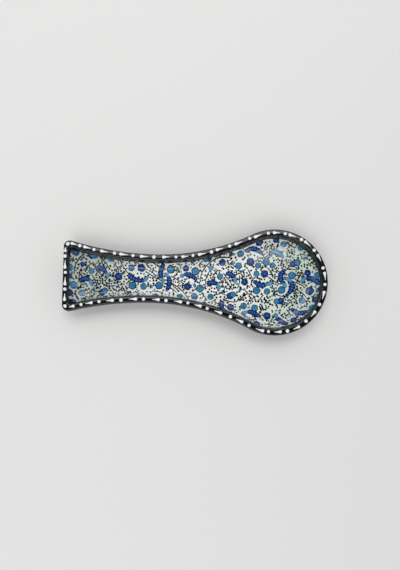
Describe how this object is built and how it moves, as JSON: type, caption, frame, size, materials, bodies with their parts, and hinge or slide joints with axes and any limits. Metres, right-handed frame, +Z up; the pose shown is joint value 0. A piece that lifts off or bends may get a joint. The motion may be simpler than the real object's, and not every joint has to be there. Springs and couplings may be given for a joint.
{
  "type": "spoon rest",
  "caption": "Shallow spoon-shaped glazed ceramic dish with a round bowl, a waisted neck and a square-ended handle, dotted along its lip and painted with small flowers.",
  "frame": {"origin": "on the table under the middle of the dish", "axes": "+X from the handle towards the bowl, +Z up, +Y across the dish"},
  "size_m": [0.25, 0.1004, 0.0208],
  "materials": {
    "clay_body": "bare fired buff clay, matt",
    "white_glaze": "gloss white glaze, faintly green",
    "black_glaze": "gloss black glaze",
    "white_enamel": "raised white relief enamel, gloss",
    "cobalt_paint": "cobalt blue underglaze colour, gloss",
    "turquoise_paint": "turquoise blue underglaze colour, gloss"
  },
  "bodies": {
    "root": {"clay_body": "clay_body", "white_glaze": "white_glaze", "black_glaze": "black_glaze", "enamel_dots": "white_enamel", "enamel_drops": "white_enamel", "cobalt_flowers": "cobalt_paint", "turquoise_flowers": "turquoise_paint", "feather_leaves": "cobalt_paint"}
  },
  "joints": []
}
